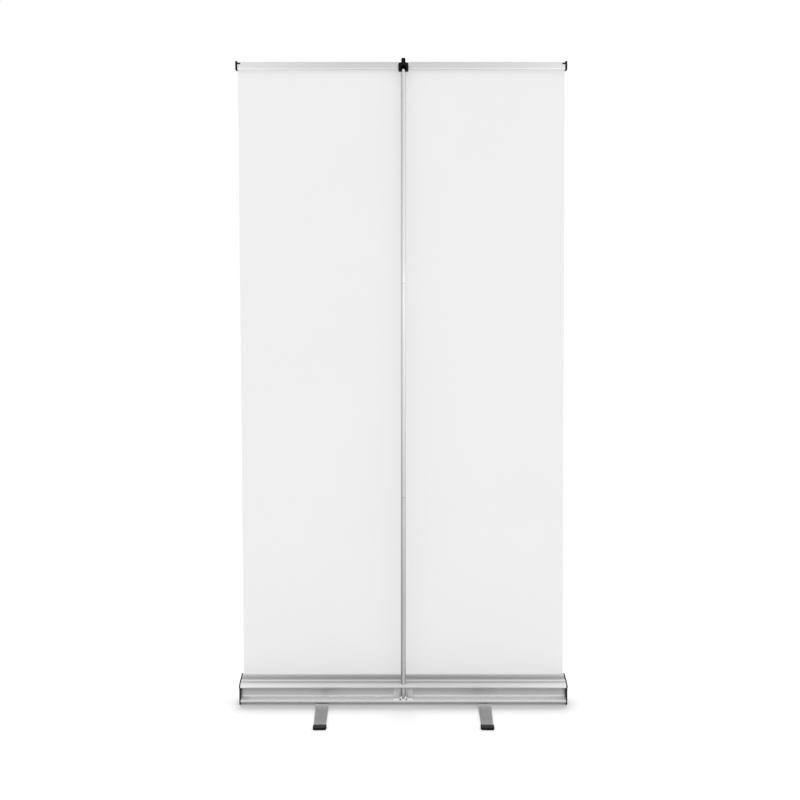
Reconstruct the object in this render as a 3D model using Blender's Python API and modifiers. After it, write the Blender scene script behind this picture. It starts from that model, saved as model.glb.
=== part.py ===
"""Roll-up banner stand: a cassette base with a sprung roller, a plugged three-part pole, a clamp rail and two
swing-out feet. Metres, +Z up. X runs along the cassette and -Y is the pole side.
The origin is the centre of the cassette's underside."""
import math

import bpy
import bmesh
from mathutils import Vector

MM = 0.001
GAP = 0.3 * MM

# Overall sizes
BANNER_WIDTH = 850 * MM
VISIBLE_HEIGHT = 1590.2 * MM
CASSETTE_LENGTH = BANNER_WIDTH + 4 * MM
CASSETTE_TOP = 61.8 * MM
BANNER_Y = 20.55 * MM
BANNER_THICK = 0.5 * MM
RAIL_OFFSET_X = -5.5 * MM

# Cassette ends
CAP_THICK = 2.7 * MM
CAP_SCREW_R = 1.5 * MM
CAP_SCREW_HEAD_R = 3.2 * MM
SCREW_PORTS = ((27.6 * MM, 4.7 * MM), (-29.4 * MM, 42.3 * MM))

# Roller
ROLLER_R = 11.0 * MM
ROLLER_BORE_R = ROLLER_R - 1.5 * MM
ROLLER_HALF = CASSETTE_LENGTH / 2 - 10 * MM
ROLL_R = ROLLER_R + 2.5 * MM
ROLLER_Y = BANNER_Y - BANNER_THICK / 2 - GAP - ROLL_R
ROLLER_Z = 24.0 * MM
IDLE_PIN_R = 3.0 * MM
SHAFT_R = 4.0 * MM
SHAFT_INNER_X = 150 * MM
PIN_END = CASSETTE_LENGTH / 2 + 1.4 * MM
CLUTCH_START = SHAFT_INNER_X + 8 * MM
CLUTCH_END = SHAFT_INNER_X + 26 * MM
ANCHOR_START = ROLLER_HALF - 39 * MM
ANCHOR_END = ROLLER_HALF - 27 * MM
SPRING_COIL_R = ROLLER_BORE_R - 2.5 * MM
SPRING_WIRE_R = 0.7 * MM
SPRING_TURNS = 46
RUNNING_FIT = 0.06 * MM

# Rail
RAIL_BOTTOM = CASSETTE_TOP + VISIBLE_HEIGHT
RAIL_LENGTH = BANNER_WIDTH + 1 * MM
RAIL_CAP_THICK = 5.0 * MM
JAW_AXIS_Y = 20.9 * MM
JAW_AXIS_DZ = 16.6 * MM
JAW_BEAD_R = 1.6 * MM

# Pole
POLE_R = 6.5 * MM
POLE_BORE_R = POLE_R - 0.8 * MM
POLE_FOOT_Y = -25.0 * MM
POLE_FOOT_Z = 10.1 * MM
POLE_TOP_Y = 2.0 * MM
POLE_TOP_Z = RAIL_BOTTOM + 1.5 * MM
LOWER_JOINT_Z = 540 * MM
MIDDLE_JOINT_Z = 1097 * MM
FERRULE_LENGTH = 70 * MM
FERRULE_R = POLE_BORE_R - 0.2 * MM
FERRULE_BORE_R = FERRULE_R - 1.2 * MM
CORD_R = 1.6 * MM
POLE_HOLE_R = POLE_R + 0.5 * MM

# Feet
FOOT_PIVOT_X = 213 * MM
FOOT_PIVOT_Y = -14 * MM
FOOT_REACH = 210 * MM
FOOT_WIDTH = 35 * MM
FOOT_TIP_WIDTH = 32.4 * MM
FOOT_THICK = 3.5 * MM
FOOT_TOE_IN = math.radians(1.9)
WASHER_THICK = 1.0 * MM
TIP_LENGTH = 25 * MM
FLOOR_Z = -(2 * GAP + WASHER_THICK + FOOT_THICK + 1.3 * MM)
FLOOR = FLOOR_Z / MM

LEAN = math.atan2(POLE_TOP_Y - POLE_FOOT_Y, POLE_TOP_Z - POLE_FOOT_Z)
POLE_LENGTH = math.hypot(POLE_TOP_Y - POLE_FOOT_Y, POLE_TOP_Z - POLE_FOOT_Z)

CASSETTE_OUTER = (
    (17.6, 61.8), (12.5, 61.3), (9.0, 60.0), (6.0, 57.9), (2.0, 56.2), (-3.0, 55.2), (-8.0, 54.5),
    (-11.2, 54.6), (-12.9, 55.5), (-14.2, 55.8), (-15.5, 55.4), (-17.0, 53.7), (-19.0, 52.2),
    (-22.0, 51.7), (-25.5, 51.1), (-28.5, 49.8), (-31.2, 47.7), (-33.2, 45.2), (-34.0, 42.8),
    (-33.7, 40.6), (-32.4, 38.8), (-30.2, 37.7), (-27.5, 37.4), (-15.0, 37.4), (-12.9, 36.5),
    (-12.0, 34.4), (-12.0, 13.4), (-12.6, 11.2), (-14.2, 9.9), (-16.5, 9.1), (-29.4, 5.9),
    (-30.5, 5.4), (-31.0, 4.4), (-31.0, 1.4), (-30.6, 0.4), (-29.6, 0.0), (29.5, 0.0),
    (31.3, 0.7), (32.0, 2.5), (32.0, 47.4), (31.6, 51.0), (30.3, 54.7), (28.2, 58.0), (25.6, 60.6),
    (23.4, 61.8),
)
CASSETTE_INNER = (
    (17.6, 60.1), (10.0, 58.0), (4.0, 55.0), (-3.0, 53.4), (-13.0, 52.6), (-18.5, 50.6), (-22.0, 50.0),
    (-25.0, 49.5), (-27.8, 48.3), (-30.1, 46.5), (-31.8, 44.3), (-32.4, 42.7), (-32.1, 41.3),
    (-31.3, 40.1), (-29.8, 39.3), (-27.5, 39.0), (-14.7, 39.0), (-11.8, 37.7), (-10.4, 34.7),
    (-10.4, 13.1), (-11.3, 10.0), (-13.4, 8.4), (-16.6, 7.4), (-28.9, 4.2), (-29.4, 3.8), (-29.4, 2.1),
    (-28.9, 1.6), (29.2, 1.6), (30.1, 1.9), (30.4, 2.8), (30.4, 47.2), (30.0, 50.6), (28.8, 53.9),
    (26.9, 56.8), (24.9, 58.8), (23.4, 59.8),
)
END_CAP_OUTLINE = (
    (23.5, 62.6), (17.5, 62.6), (9.2, 61.2), (3.0, 58.6), (-9.0, 56.4), (-14.5, 56.8), (-18.0, 54.9),
    (-21.0, 52.9), (-26.0, 52.0), (-29.2, 50.6), (-32.0, 48.4), (-34.1, 45.6), (-34.9, 42.8),
    (-34.4, 40.0), (-32.6, 36.0), (-32.0, 32.5), (-32.0, FLOOR + 4.8), (-31.3, FLOOR + 2.4),
    (-29.6, FLOOR + 0.6), (-27.0, FLOOR), (31.0, FLOOR), (32.4, FLOOR + 0.4), (33.0, FLOOR + 1.5),
    (33.0, 47.4), (32.6, 51.4), (31.2, 55.2), (28.9, 58.7), (26.2, 61.5),
)

parts = None
cutters = None


def start():
    """Empties the file and makes the two collections."""
    global parts, cutters
    for item in list(bpy.data.objects):
        bpy.data.objects.remove(item, do_unlink=True)
    for block in list(bpy.data.collections):
        bpy.data.collections.remove(block)
    parts = bpy.data.collections.new("roll_up_banner_stand")
    cutters = bpy.data.collections.new("cutters")
    bpy.context.scene.collection.children.link(parts)
    bpy.context.scene.collection.children.link(cutters)


def material(name, color, metallic, roughness):
    """One Principled material."""
    made = bpy.data.materials.get(name)
    if made:
        return made
    made = bpy.data.materials.new(name)
    made.use_nodes = True
    shader = made.node_tree.nodes["Principled BSDF"]
    shader.inputs["Base Color"].default_value = (*color, 1.0)
    shader.inputs["Metallic"].default_value = metallic
    shader.inputs["Roughness"].default_value = roughness
    made.diffuse_color = (*color, 1.0)
    return made


def aluminium():
    return material("satin aluminium", (0.72, 0.73, 0.74), 1.0, 0.32)


def steel():
    return material("bright steel", (0.60, 0.60, 0.61), 1.0, 0.25)


def black():
    return material("black plastic", (0.015, 0.015, 0.016), 0.0, 0.45)


def nylon():
    return material("white nylon", (0.80, 0.80, 0.78), 0.0, 0.5)


def film():
    return material("banner film", (0.83, 0.83, 0.83), 0.0, 0.6)


def elastic():
    return material("white elastic cord", (0.75, 0.75, 0.72), 0.0, 0.8)


def place(name, mesh, paint):
    """Links a part to the object's collection."""
    item = bpy.data.objects.new(name, mesh)
    parts.objects.link(item)
    mesh.materials.clear()
    mesh.materials.append(paint)
    return item


def tool(name, mesh):
    """Links a cutter or an added shape, which isn't rendered."""
    item = bpy.data.objects.new(name, mesh)
    cutters.objects.link(item)
    item.hide_render = True
    item.display_type = "WIRE"
    return item


def boolean(item, other, operation="DIFFERENCE"):
    step = item.modifiers.new(other.name, "BOOLEAN")
    step.operation = operation
    step.solver = "EXACT"
    step.object = other


def from_bmesh(name, built):
    bmesh.ops.recalc_face_normals(built, faces=built.faces)
    mesh = bpy.data.meshes.new(name)
    built.to_mesh(mesh)
    built.free()
    return mesh


def prism(name, corners, low, high, axis="X"):
    """A flat outline pushed along one axis. Corners are (y, z) for X, (x, z) for Y and (x, y) for Z."""
    built = bmesh.new()
    loops = []
    for level in (low, high):
        ring = []
        for a, b in corners:
            spot = {"X": (level, a, b), "Y": (a, level, b), "Z": (a, b, level)}[axis]
            ring.append(built.verts.new(spot))
        loops.append(ring)
    count = len(corners)
    for i in range(count):
        j = (i + 1) % count
        built.faces.new((loops[0][i], loops[0][j], loops[1][j], loops[1][i]))
    built.faces.new(loops[0])
    built.faces.new(loops[1])
    return from_bmesh(name, built)


def block(name, low, high):
    """A box between two corners."""
    corners = ((low[0], low[1]), (high[0], low[1]), (high[0], high[1]), (low[0], high[1]))
    return prism(name, corners, low[2], high[2], "Z")


def cylinder(name, radius, low, high, steps=32, top_radius=None):
    """A solid cylinder or cone along local Z."""
    top = radius if top_radius is None else top_radius
    built = bmesh.new()
    rings = []
    for level, size in ((low, radius), (high, top)):
        ring = []
        for i in range(steps):
            turn = 2 * math.pi * i / steps
            ring.append(built.verts.new((size * math.cos(turn), size * math.sin(turn), level)))
        rings.append(ring)
    for i in range(steps):
        j = (i + 1) % steps
        built.faces.new((rings[0][i], rings[0][j], rings[1][j], rings[1][i]))
    built.faces.new(rings[0])
    built.faces.new(rings[1])
    return from_bmesh(name, built)


def turned(name, profile, paint, steps=32, closed=True):
    """A profile of (radius, z), outer side running down, spun about local Z by a Screw."""
    mesh = bpy.data.meshes.new(name)
    points = [(radius, 0.0, z) for radius, z in profile]
    lines = [(i, i + 1) for i in range(len(points) - 1)]
    if closed:
        lines.append((len(points) - 1, 0))
    mesh.from_pydata(points, lines, [])
    item = place(name, mesh, paint)
    step = item.modifiers.new("Screw", "SCREW")
    step.axis = "Z"
    step.angle = 2 * math.pi
    step.steps = steps
    step.render_steps = steps
    step.use_merge_vertices = True
    step.merge_threshold = 0.00001
    return item


def sleeve(name, outer, inner, low, high, paint, steps=32):
    """A plain tube along local Z."""
    profile = ((outer, high), (outer, low), (inner, low), (inner, high))
    return turned(name, profile, paint, steps)


def along_x(item, y, z, x=0.0, flip=False):
    """Turns a part's local Z to +X, or to -X when flipped, and moves it."""
    item.rotation_euler = (0.0, -math.pi / 2 if flip else math.pi / 2, 0.0)
    item.location = (x, y, z)
    return item


def on_pole(item):
    """Puts a part whose local Z is the pole's axis, measured from the pole's foot."""
    item.rotation_euler = (-LEAN, 0.0, 0.0)
    item.location = (0.0, POLE_FOOT_Y, POLE_FOOT_Z)
    return item


def pole_distance(z):
    """How far along the pole a height lies."""
    return (z - POLE_FOOT_Z) / math.cos(LEAN)


def scaled(corners):
    return [(a * MM, b * MM) for a, b in corners]


def arc(center, radius, start, end, count):
    """Points on a circle, angles in degrees."""
    made = []
    for i in range(count + 1):
        turn = math.radians(start + (end - start) * i / count)
        made.append((center[0] + radius * math.cos(turn), center[1] + radius * math.sin(turn)))
    return made


def cassette():
    """The extruded base: roller chamber, banner slot, rear shoulder over an open channel, and a lip."""
    half = CASSETTE_LENGTH / 2
    outline = scaled(CASSETTE_OUTER) + scaled(reversed(CASSETTE_INNER))
    item = place("cassette_extrusion", prism("cassette", outline, -half, half), aluminium())
    for index, (y, z) in enumerate(SCREW_PORTS):
        port = tool(f"screw_port_{index}", cylinder("port", 3.4 * MM, -half, half, 16))
        along_x(port, y, z)
        boolean(item, port, "UNION")
    for index, (y, z) in enumerate(SCREW_PORTS):
        for side in (-1, 1):
            start_z, end_z = sorted((side * (half - 22 * MM), side * (half + 4 * MM)))
            hole = tool(f"port_hole_{index}_{side}", cylinder("hole", CAP_SCREW_R + GAP, start_z, end_z, 16))
            along_x(hole, y, z)
            boolean(item, hole)
    pole_hole = tool("pole_hole", cylinder("pole_hole", POLE_HOLE_R, 26 * MM, 60 * MM, 40))
    on_pole(pole_hole)
    boolean(item, pole_hole)
    for side in (-1, 1):
        rivet_hole = tool(f"rivet_hole_{side}", cylinder("rivet_hole", 3.0 * MM, -2 * MM, 3.2 * MM, 24))
        rivet_hole.location = (side * FOOT_PIVOT_X, FOOT_PIVOT_Y, 0.0)
        boolean(item, rivet_hole)
    return item


def end_cap(side):
    """A black end plate that stands on the floor, with a plug boss for the roller's end."""
    name = "end_cap_left" if side < 0 else "end_cap_right"
    inner = side * (CASSETTE_LENGTH / 2 + GAP)
    outer = side * (CASSETTE_LENGTH / 2 + GAP + CAP_THICK)
    low, high = sorted((inner, outer))
    item = place(name, prism(name, scaled(END_CAP_OUTLINE), low, high), black())
    edge = item.modifiers.new("Bevel", "BEVEL")
    edge.width = 0.5 * MM
    edge.segments = 2
    edge.limit_method = "ANGLE"
    edge.angle_limit = math.radians(60)
    boss_low, boss_high = sorted((side * (ROLLER_HALF + 2.5 * MM), inner + side * 1 * MM))
    boss = tool(f"{name}_boss", cylinder("boss", 8.0 * MM, boss_low, boss_high, 32))
    along_x(boss, ROLLER_Y, ROLLER_Z)
    boolean(item, boss, "UNION")
    bore_r = (IDLE_PIN_R if side < 0 else SHAFT_R) + 0.05 * MM
    bore_low, bore_high = sorted((side * (ROLLER_HALF - 2 * MM), side * (PIN_END + 0.4 * MM)))
    bore = tool(f"{name}_bore", cylinder("bore", bore_r, bore_low, bore_high, 32))
    along_x(bore, ROLLER_Y, ROLLER_Z)
    boolean(item, bore)
    for index, (y, z) in enumerate(SCREW_PORTS):
        low, high = sorted((inner - side * 7 * MM, inner + side * 12 * MM))
        hole = tool(f"{name}_hole_{index}", cylinder("hole", CAP_SCREW_R + GAP, low, high, 16))
        along_x(hole, y, z)
        boolean(item, hole)
    return item


def cap_screw(side, index):
    """A pan-head screw through an end plate into the cassette's screw port."""
    y, z = SCREW_PORTS[index]
    where = "front" if index == 0 else "rear"
    name = f"end_cap_screw_{'left' if side < 0 else 'right'}_{where}"
    face = CASSETTE_LENGTH / 2 + GAP + CAP_THICK + GAP
    profile = (
        (0.0, face + 1.8 * MM),
        (2.0 * MM, face + 1.6 * MM),
        (CAP_SCREW_HEAD_R, face + 0.7 * MM),
        (CAP_SCREW_HEAD_R, face),
        (CAP_SCREW_R, face),
        (CAP_SCREW_R, face - 18 * MM),
        (0.0, face - 19.5 * MM),
    )
    item = turned(name, profile, steel(), 20, False)
    return along_x(item, y, z, 0.0, side < 0)


def roller():
    """The roller tube, its end plugs, the fixed pin and the spring drive."""
    tube = sleeve("roller_tube", ROLLER_R, ROLLER_BORE_R, -ROLLER_HALF, ROLLER_HALF, aluminium(), 40)
    along_x(tube, ROLLER_Y, ROLLER_Z)
    roll_half = BANNER_WIDTH / 2 - 9 * MM
    wound = sleeve("banner_roll", ROLL_R, ROLLER_R + GAP, -roll_half, roll_half, film(), 48)
    along_x(wound, ROLLER_Y, ROLLER_Z)
    plug_r = ROLLER_BORE_R - GAP
    for side, bore, name in ((-1, IDLE_PIN_R, "roller_plug_idle"), (1, SHAFT_R, "roller_plug_spring")):
        outer = ROLLER_HALF + 1.2 * MM
        inner = ROLLER_HALF - 20 * MM
        rim = ROLLER_HALF + GAP
        hole = bore + RUNNING_FIT
        profile = (
            (ROLLER_R, outer), (ROLLER_R, rim), (plug_r, rim), (plug_r, inner), (hole, inner), (hole, outer),
        )
        plug = turned(name, profile, nylon(), 40)
        along_x(plug, ROLLER_Y, ROLLER_Z, 0.0, side < 0)
    pin = turned(
        "idle_pin",
        (
            (0.0, PIN_END), (IDLE_PIN_R, PIN_END), (IDLE_PIN_R, ROLLER_HALF - 22 * MM),
            (0.0, ROLLER_HALF - 23 * MM),
        ),
        steel(), 32, False,
    )
    along_x(pin, ROLLER_Y, ROLLER_Z, 0.0, True)
    shaft = turned(
        "spring_shaft",
        ((0.0, PIN_END), (SHAFT_R, PIN_END), (SHAFT_R, SHAFT_INNER_X), (0.0, SHAFT_INNER_X - 1 * MM)),
        steel(), 32, False,
    )
    along_x(shaft, ROLLER_Y, ROLLER_Z)
    clutch = turned(
        "spring_clutch",
        (
            (plug_r, CLUTCH_END), (plug_r, CLUTCH_START), (SHAFT_R + RUNNING_FIT, CLUTCH_START),
            (SHAFT_R + RUNNING_FIT, CLUTCH_END),
        ),
        nylon(), 40,
    )
    along_x(clutch, ROLLER_Y, ROLLER_Z)
    anchor = turned(
        "spring_anchor",
        (
            (ROLLER_BORE_R - 0.9 * MM, ANCHOR_END), (ROLLER_BORE_R - 0.9 * MM, ANCHOR_START),
            (SHAFT_R + 0.05 * MM, ANCHOR_START), (SHAFT_R + 0.05 * MM, ANCHOR_END),
        ),
        steel(), 32,
    )
    along_x(anchor, ROLLER_Y, ROLLER_Z)
    torsion_spring()


def torsion_spring():
    """The coil that winds the banner back in, between clutch and anchor: a six-sided wire on a helix."""
    low = CLUTCH_END + GAP + SPRING_WIRE_R
    high = ANCHOR_START - GAP - SPRING_WIRE_R
    per_turn = 12
    sides = 6
    count = SPRING_TURNS * per_turn
    built = bmesh.new()
    rings = []
    for i in range(count + 1):
        turn = 2 * math.pi * i / per_turn
        radial = Vector((0.0, math.cos(turn), math.sin(turn)))
        center = Vector((low + (high - low) * i / count, ROLLER_Y, ROLLER_Z)) + radial * SPRING_COIL_R
        ring = []
        for j in range(sides):
            around = 2 * math.pi * j / sides
            spot = center + radial * (SPRING_WIRE_R * math.cos(around))
            spot.x += SPRING_WIRE_R * math.sin(around)
            ring.append(built.verts.new(spot))
        rings.append(ring)
    for i in range(count):
        for j in range(sides):
            k = (j + 1) % sides
            built.faces.new((rings[i][j], rings[i][k], rings[i + 1][k], rings[i + 1][j]))
    built.faces.new(rings[0])
    built.faces.new(rings[-1])
    return place("torsion_spring", from_bmesh("torsion_spring", built), steel())


def banner():
    """The visible film, from the roll's front side up into the rail."""
    low_y = BANNER_Y - BANNER_THICK / 2
    high_y = BANNER_Y + BANNER_THICK / 2
    half = BANNER_WIDTH / 2
    bottom = ROLLER_Z
    top = RAIL_BOTTOM + 11.5 * MM
    lean = RAIL_OFFSET_X / (top - bottom)
    corners = []
    for x, z in ((-half, bottom), (half, bottom), (half, top), (-half, top)):
        corners.append((x + lean * (z - bottom), z))
    item = place("banner_sheet", prism("banner_sheet", corners, low_y, high_y, "Y"), film())
    return item


def rail_outline():
    """The rail's rear body: a channel that is open below, and a hooked seat for the jaw's bead."""
    axis = (JAW_AXIS_Y / MM, JAW_AXIS_DZ / MM)
    points = [(12.0, 0.7), (12.0, 14.2), (12.5, 16.6), (13.6, 18.5), (15.2, 19.6), (17.2, 19.95)]
    points += arc(axis, 3.35, 90, 60, 3)
    points += arc(axis, 1.9, 60, 290, 14)
    points += arc(axis, 3.35, 290, 264, 2)
    points += [(20.0, 12.6), (20.0, 0.9), (19.7, 0.2), (19.0, 0.0), (18.5, 0.3), (18.3, 0.9)]
    points += [(18.3, 13.4), (17.6, 15.6), (16.9, 16.2), (14.4, 16.2), (13.7, 15.6), (13.5, 14.0)]
    points += [(13.5, 0.7), (13.2, 0.1), (12.7, -0.1), (12.2, 0.1)]
    return points


def jaw_outline():
    """The rail's front jaw: a bead to turn on, a rounded cover and a gripping tip."""
    axis = (JAW_AXIS_Y / MM, JAW_AXIS_DZ / MM)
    points = [(21.1, 0.6), (21.1, 3.0), (22.2, 3.2), (24.2, 4.3), (25.3, 6.2), (25.6, 8.5), (25.6, 11.2)]
    points += [(24.9, 12.9), (23.6, 13.8)]
    points += arc(axis, JAW_BEAD_R / MM, -61, -351, 16)
    points += [(24.2, 15.05)]
    points += arc(axis, 3.75, -16, 15, 4)
    points += arc(axis, 5.2, 15, 0, 2)
    points += [(26.8, 13.5), (27.1, 10.5), (27.1, 7.5), (26.6, 4.6), (25.2, 2.2), (23.4, 0.6)]
    points += [(21.9, 0.0), (21.4, 0.1)]
    return points


def rail():
    """The clamp rail: body, jaw and end caps."""
    half = RAIL_LENGTH / 2
    lift = RAIL_BOTTOM / MM
    body_corners = scaled([(y, z + lift) for y, z in rail_outline()])
    low = RAIL_OFFSET_X - half
    high = RAIL_OFFSET_X + half
    place("rail_body", prism("rail_body", body_corners, low, high), aluminium())
    jaw_corners = []
    for y, z in jaw_outline():
        jaw_corners.append((y * MM - JAW_AXIS_Y, z * MM - JAW_AXIS_DZ))
    jaw = place("rail_jaw", prism("rail_jaw", jaw_corners, -half, half), aluminium())
    jaw.location = (RAIL_OFFSET_X, JAW_AXIS_Y, RAIL_BOTTOM + JAW_AXIS_DZ)
    for side in (-1, 1):
        rail_cap(side, half)


def rail_cap(side, half):
    """A black cap on a rail end, with a tab over the rail's back and a tongue in its channel."""
    name = "rail_cap_left" if side < 0 else "rail_cap_right"
    base = RAIL_BOTTOM / MM
    corners = [(10.6, -0.4), (11.4, -1.3), (27.2, -1.3), (28.3, -0.2), (28.3, 14.5), (27.2, 18.6)]
    corners += [(24.6, 21.3), (12.4, 21.3), (11.0, 20.3), (10.6, 18.8)]
    inner = RAIL_OFFSET_X + side * (half + GAP)
    outer = inner + side * RAIL_CAP_THICK
    low, high = sorted((inner, outer))
    outline = scaled([(y, z + base) for y, z in corners])
    item = place(name, prism(name, outline, low, high), black())
    edge = item.modifiers.new("Bevel", "BEVEL")
    edge.width = 0.6 * MM
    edge.segments = 2
    edge.limit_method = "ANGLE"
    edge.angle_limit = math.radians(60)
    tab_x = sorted((inner - side * 8 * MM, inner + side * 3 * MM))
    tab_low = (tab_x[0], 10.6 * MM, RAIL_BOTTOM + 13.2 * MM)
    tab_high = (tab_x[1], 11.7 * MM, RAIL_BOTTOM + 16.6 * MM)
    tab = tool(f"{name}_tab", block("tab", tab_low, tab_high))
    boolean(item, tab, "UNION")
    tongue_x = sorted((inner - side * 14 * MM, inner + side * 3 * MM))
    tongue = tool(
        f"{name}_tongue",
        block(
            "tongue",
            (tongue_x[0], 13.8 * MM, RAIL_BOTTOM + 2 * MM),
            (tongue_x[1], 18.0 * MM, RAIL_BOTTOM + 13.2 * MM),
        ),
    )
    boolean(item, tongue, "UNION")
    return item


def pole():
    """Three plugged tubes with ferrules, the elastic cord inside, a foot plug and the hook."""
    lower = pole_distance(LOWER_JOINT_Z)
    middle = pole_distance(MIDDLE_JOINT_Z)
    spans = (("pole_tube_lower", 0.0, lower - GAP), ("pole_tube_middle", lower, middle - GAP),
             ("pole_tube_upper", middle, POLE_LENGTH))
    for name, low, high in spans:
        on_pole(sleeve(name, POLE_R, POLE_BORE_R, low, high, aluminium(), 36))
    half = FERRULE_LENGTH / 2
    for name, joint in (("pole_ferrule_lower", lower), ("pole_ferrule_upper", middle)):
        on_pole(sleeve(name, FERRULE_R, FERRULE_BORE_R, joint - half, joint + half, aluminium(), 32))
    plug_r = POLE_BORE_R - GAP
    plug = turned(
        "pole_foot_plug",
        (
            (0.0, 18 * MM), (plug_r - 0.8 * MM, 18 * MM), (plug_r, 17 * MM), (plug_r, 1.0 * MM),
            (0.0, 1.0 * MM),
        ),
        black(), 32, False,
    )
    on_pole(plug)
    cord = turned(
        "pole_cord",
        (
            (0.0, POLE_LENGTH - 32 * MM - GAP), (CORD_R, POLE_LENGTH - 32 * MM - GAP),
            (CORD_R, 18 * MM + GAP), (0.0, 18 * MM + GAP),
        ),
        elastic(), 16, False,
    )
    on_pole(cord)


def hook():
    """The hook on the pole's top: a stem in the tube, a tongue in the rail's channel and a rear finger."""
    base = RAIL_BOTTOM
    shell = [(-13, -6), (-11.6, -7.2), (-9.6, -7.2), (-8.2, -6)]
    shell += [(-7.6, -2.5)] + arc((0.0, -2.2), 7.4, 180, 0, 12) + [(7.6, -2.5)]
    shell += [(8.2, -6), (9.6, -7.2), (11.6, -7.2), (13, -6)]
    shell += [(13, 10.2), (12.0, 12.0), (9.4, 12.6), (7.0, 12.8), (5.5, 15.5), (5.5, 23.6)]
    shell += [(4.6, 25.8), (2.6, 27.0), (-2.6, 27.0), (-4.6, 25.8), (-5.5, 23.6), (-5.5, 15.5), (-7.0, 12.8)]
    shell += [(-9.4, 12.6), (-12.0, 12.0), (-13, 10.2)]
    outline = [(x * MM, base + z * MM) for x, z in shell]
    item = place("pole_hook", prism("pole_hook", outline, -6.6 * MM, 11.6 * MM, "Y"), black())
    edge = item.modifiers.new("Bevel", "BEVEL")
    edge.width = 0.7 * MM
    edge.segments = 2
    edge.limit_method = "ANGLE"
    edge.angle_limit = math.radians(60)
    thin_low = (-20 * MM, -12 * MM, base + 13.4 * MM)
    thin = tool("hook_thin", block("thin", thin_low, (20 * MM, 3.0 * MM, base + 40 * MM)))
    boolean(item, thin)
    pocket_ends = (POLE_LENGTH - 30 * MM, POLE_LENGTH + GAP)
    pocket = tool("hook_pocket", cylinder("pocket", POLE_R + GAP, *pocket_ends, 36))
    on_pole(pocket)
    boolean(item, pocket)
    seat_low = (-11 * MM, 6 * MM, base - 5.6 * MM)
    cheek = tool("hook_seat", block("seat", seat_low, (11 * MM, 17.2 * MM, base - 0.6 * MM)))
    boolean(item, cheek, "UNION")
    tongue_low = (-11 * MM, 14.3 * MM, base - 5.6 * MM)
    tongue = tool("hook_tongue", block("tongue", tongue_low, (11 * MM, 17.2 * MM, base + 15.6 * MM)))
    boolean(item, tongue, "UNION")
    relief_ends = (POLE_LENGTH - 40 * MM, POLE_LENGTH - 1 * MM)
    relief = tool("hook_relief", cylinder("relief", POLE_R + GAP, *relief_ends, 36))
    on_pole(relief)
    boolean(item, relief)
    stem_ends = (POLE_LENGTH - 32 * MM, POLE_LENGTH + 3 * MM)
    stem = tool("hook_stem", cylinder("stem", POLE_BORE_R - GAP, *stem_ends, 32))
    on_pole(stem)
    boolean(item, stem, "UNION")
    return item


def socket():
    """The pole's seat: a ribbed back, a wedge on the cassette's sloping ledge, and a cone-shaped collar."""
    ribs = [(-26, -12.4), (-26, -15.6)]
    for center in (-23.6, -18.2, -12.8, 12.8, 18.2, 23.6):
        ribs += [(center - 2.0, -15.4), (center - 1.2, -16.6), (center + 1.2, -16.6), (center + 2.0, -15.4)]
    ribs += [(26, -15.6), (26, -12.4)]
    back = prism("pole_socket", scaled(ribs), 10.4 * MM, 33.8 * MM, "Z")
    item = place("pole_socket", back, aluminium())
    wedge = [(-14.6, 10.9), (-14.6, 10.2), (-16.6, 9.45), (-29.6, 6.2), (-30.4, 6.2)]
    wedge += [(-30.4, 10.4), (-29.9, 10.9)]
    plate = tool("socket_plate", prism("plate", scaled(wedge), -25.9 * MM, 25.9 * MM))
    boolean(item, plate, "UNION")
    cone = cylinder("collar", POLE_R + 4.7 * MM, 10.3 * MM, 17.6 * MM, 40, POLE_R + 1.4 * MM)
    collar = tool("socket_collar", cone)
    collar.location = (0.0, POLE_FOOT_Y + 0.05 * MM, 0.0)
    boolean(item, collar, "UNION")
    trim = tool("socket_trim", block("trim", (-20 * MM, -45 * MM, 5.0 * MM), (20 * MM, -31 * MM, 20 * MM)))
    boolean(item, trim)
    relief_box = block("relief", (-30 * MM, -14.2 * MM, 8 * MM), (30 * MM, -12 * MM, 14 * MM))
    relief = tool("socket_relief", relief_box)
    boolean(item, relief)
    bore = tool("socket_bore", cylinder("bore", POLE_R + GAP, -GAP, 30 * MM, 36))
    on_pole(bore)
    boolean(item, bore)
    for side in (-1, 1):
        hole = tool(f"socket_pilot_{side}", cylinder("pilot", 1.5 * MM, -1.0 * MM, 4.6 * MM, 16))
        hole.rotation_euler = (-math.pi / 2, 0.0, 0.0)
        hole.location = (side * 8.1 * MM, -30.4 * MM, 8.4 * MM)
        boolean(item, hole)
    for side in (-1, 1):
        name = "socket_screw_left" if side < 0 else "socket_screw_right"
        profile = (
            (0.0, 1.7 * MM), (1.2 * MM, 1.6 * MM), (1.8 * MM, 1.0 * MM), (1.8 * MM, GAP), (1.25 * MM, GAP),
            (1.25 * MM, -3.6 * MM), (0.0, -4.2 * MM),
        )
        screw = turned(name, profile, black(), 20, False)
        screw.rotation_euler = (math.pi / 2, 0.0, 0.0)
        screw.location = (side * 8.1 * MM, -30.4 * MM, 8.4 * MM)
    return item


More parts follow.
